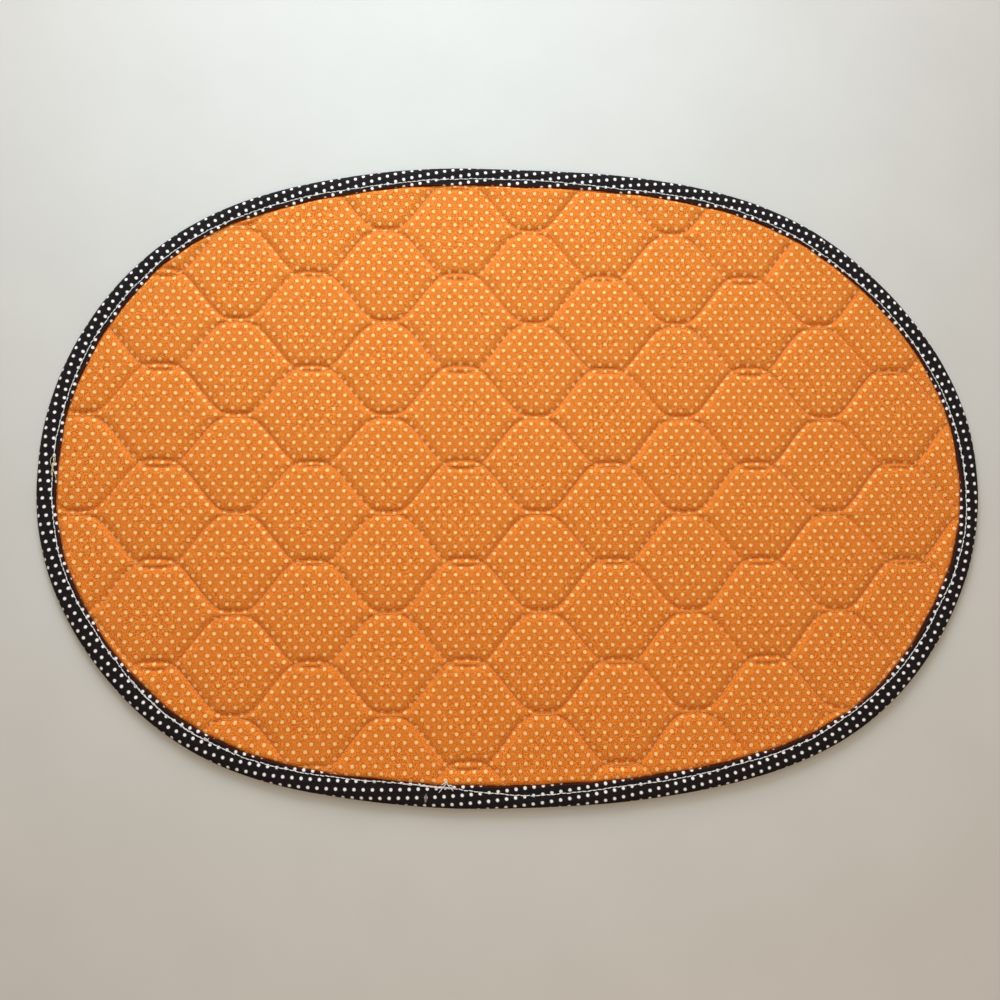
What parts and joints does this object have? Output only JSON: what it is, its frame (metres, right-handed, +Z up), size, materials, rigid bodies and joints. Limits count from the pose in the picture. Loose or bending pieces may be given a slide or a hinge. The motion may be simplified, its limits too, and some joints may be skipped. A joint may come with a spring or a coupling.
{
  "type": "fabric placemat",
  "caption": "Oval quilted cloth placemat: padded orange dotted panel stitched in crossing waves, edged with a folded black dotted tape, lying flat.",
  "frame": {"origin": "middle of the mat's box, on the surface it lies on", "axes": "+X along the length, +Y towards the far long side, +Z up out of the quilted face"},
  "size_m": [0.4826, 0.3302, 0.0044],
  "materials": {
    "quilted_panel": "matt cotton, pin dots",
    "binding": "matt cotton, white dots"
  },
  "bodies": {
    "root": {"quilted_panel": "quilted_panel", "binding": "binding"}
  },
  "joints": []
}
